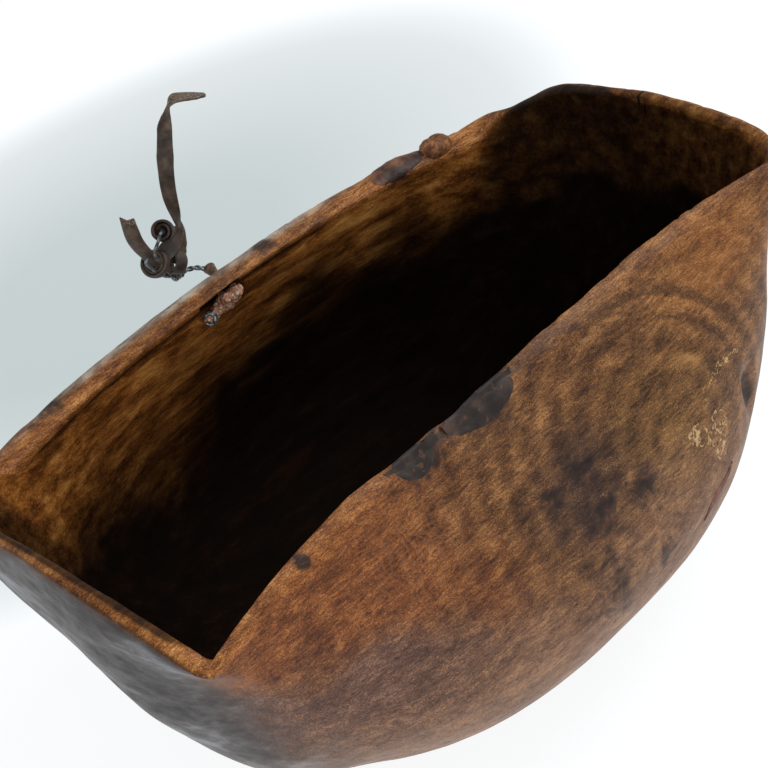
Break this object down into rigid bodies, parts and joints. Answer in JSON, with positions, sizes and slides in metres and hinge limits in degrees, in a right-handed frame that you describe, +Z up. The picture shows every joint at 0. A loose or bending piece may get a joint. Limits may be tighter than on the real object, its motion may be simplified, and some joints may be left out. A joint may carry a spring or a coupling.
{
  "type": "wooden bowl",
  "caption": "Hand-carved oblong wooden bowl with a four-cornered mouth, old pitch repairs and a wire-tied leather thong and bead at one wall, for scooping feed or grain.",
  "frame": {"origin": "centre of the worn flat face that the bowl stands on", "axes": "+X along the mouth towards its narrower end, +Y towards the wall with the hanger, +Z up"},
  "size_m": [0.3925, 0.2633, 0.2356],
  "materials": {
    "bowl_wood": "hand-polished, worn satin",
    "pitch": null,
    "red_filler": "dull, crumbly",
    "knot_wood": "rounded, worn",
    "packing": "rough, crumbled hide and resin",
    "wire": "dull grey iron wire, bright where it rubs",
    "thong_leather": "hard dried hide, rough flesh side",
    "bead_leather": "dark rolled hide, slight polish"
  },
  "bodies": {
    "bowl": {"bowl": "bowl_wood", "far_rim_pitch": "pitch", "near_rim_pitch_left": "pitch", "near_rim_pitch_right": "pitch", "split_filler": "red_filler", "rim_knot": "knot_wood", "slot_packing": "packing", "tie_wire": "wire"},
    "thong": {"thong_loop": "thong_leather", "thong_tail": "thong_leather"},
    "bead": {"bead": "bead_leather"}
  },
  "joints": [
    {"name": "thong_swing", "type": "hinge", "parent": "bowl", "child": "thong", "pos_m": [-0.025, 0.125, 0.149], "axis": [-1, 0, 0], "range_deg": [-45, 100]},
    {"name": "bead_turn", "type": "hinge", "parent": "bowl", "child": "bead", "pos_m": [-0.0252, 0.124, 0.1765], "axis": [0.4601, 0.6101, -0.6451], "continuous": true}
  ]
}
